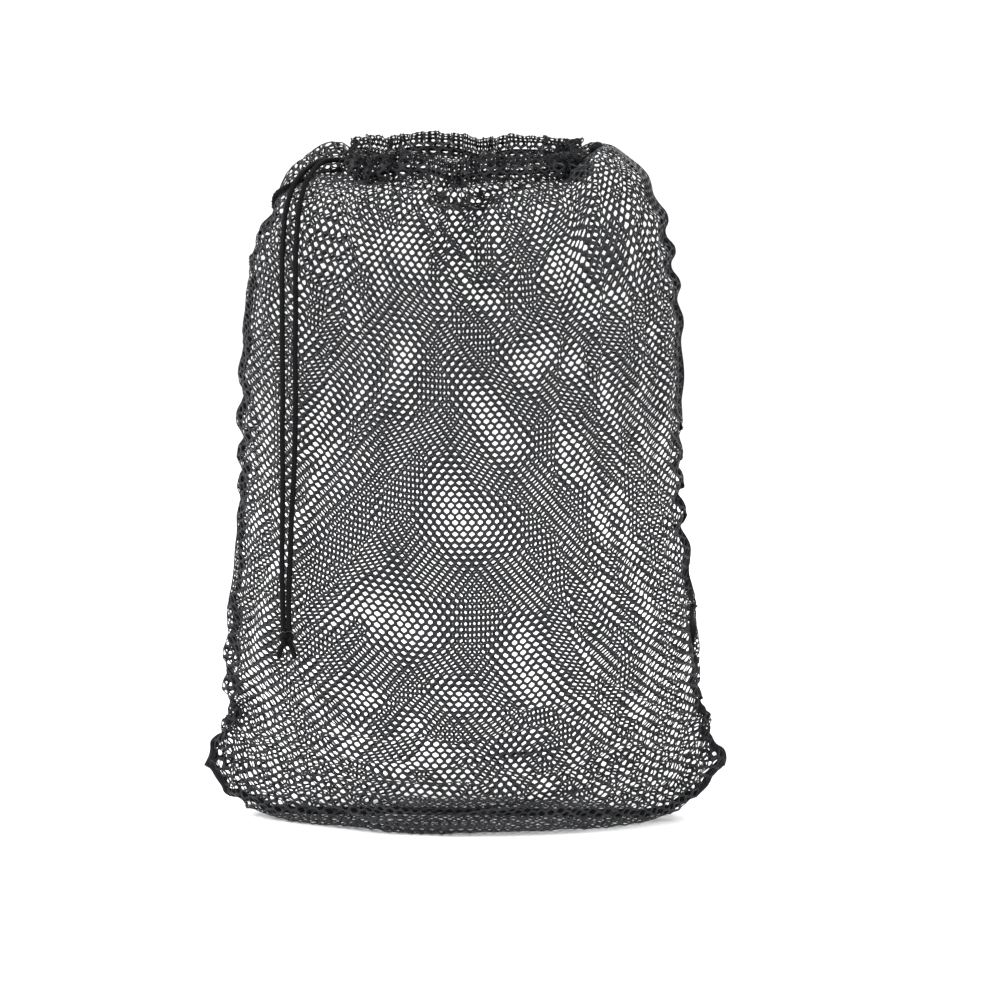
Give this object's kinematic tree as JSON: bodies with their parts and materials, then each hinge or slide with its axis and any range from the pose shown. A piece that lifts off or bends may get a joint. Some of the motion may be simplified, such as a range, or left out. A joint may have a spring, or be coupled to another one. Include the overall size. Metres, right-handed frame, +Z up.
{
  "type": "mesh laundry bag",
  "caption": "Tall drawstring bag of open black net with a gathered, channelled mouth, two bottom corners, and knotted cord ends hanging at one side.",
  "frame": {"origin": "on the floor, under the middle of the bag", "axes": "+Z up, +X along the bottom seam, the front panel faces -Y"},
  "size_m": [0.5996, 0.27, 0.79],
  "materials": {
    "mesh": "warp-knit polyester net, faint sheen",
    "seam": "overlocked polyester thread",
    "hem": "doubled net",
    "cord": "braided polypropylene"
  },
  "bodies": {
    "bag": {"front_panel": "mesh", "back_panel": "mesh", "side_seam_left": "seam", "side_seam_right": "seam", "bottom_seam": "seam", "channel_left": "hem", "channel_right": "hem", "drawstring_left": "cord", "drawstring_right": "cord"},
    "lip_front": {"channel_front": "hem", "drawstring_front": "cord"},
    "lip_back": {"channel_back": "hem", "drawstring_back": "cord"},
    "tails": {"tail_front": "cord", "tail_back": "cord", "end_knot": "cord"}
  },
  "joints": [
    {"name": "cinch_front", "type": "slide", "parent": "bag", "child": "lip_front", "axis": [0, 1, 0], "range_m": [-0.012, 0.042]},
    {"name": "cinch_back", "type": "slide", "parent": "bag", "child": "lip_back", "axis": [0, -1, 0], "range_m": [-0.012, 0.042]},
    {"name": "tails_swing", "type": "hinge", "parent": "bag", "child": "tails", "pos_m": [-0.134, 0, 0.754], "axis": [-1, 0, 0], "range_deg": [0, 80]}
  ],
  "couplings": [
    {"joint": "cinch_back", "follows": "cinch_front", "ratio": 1}
  ]
}
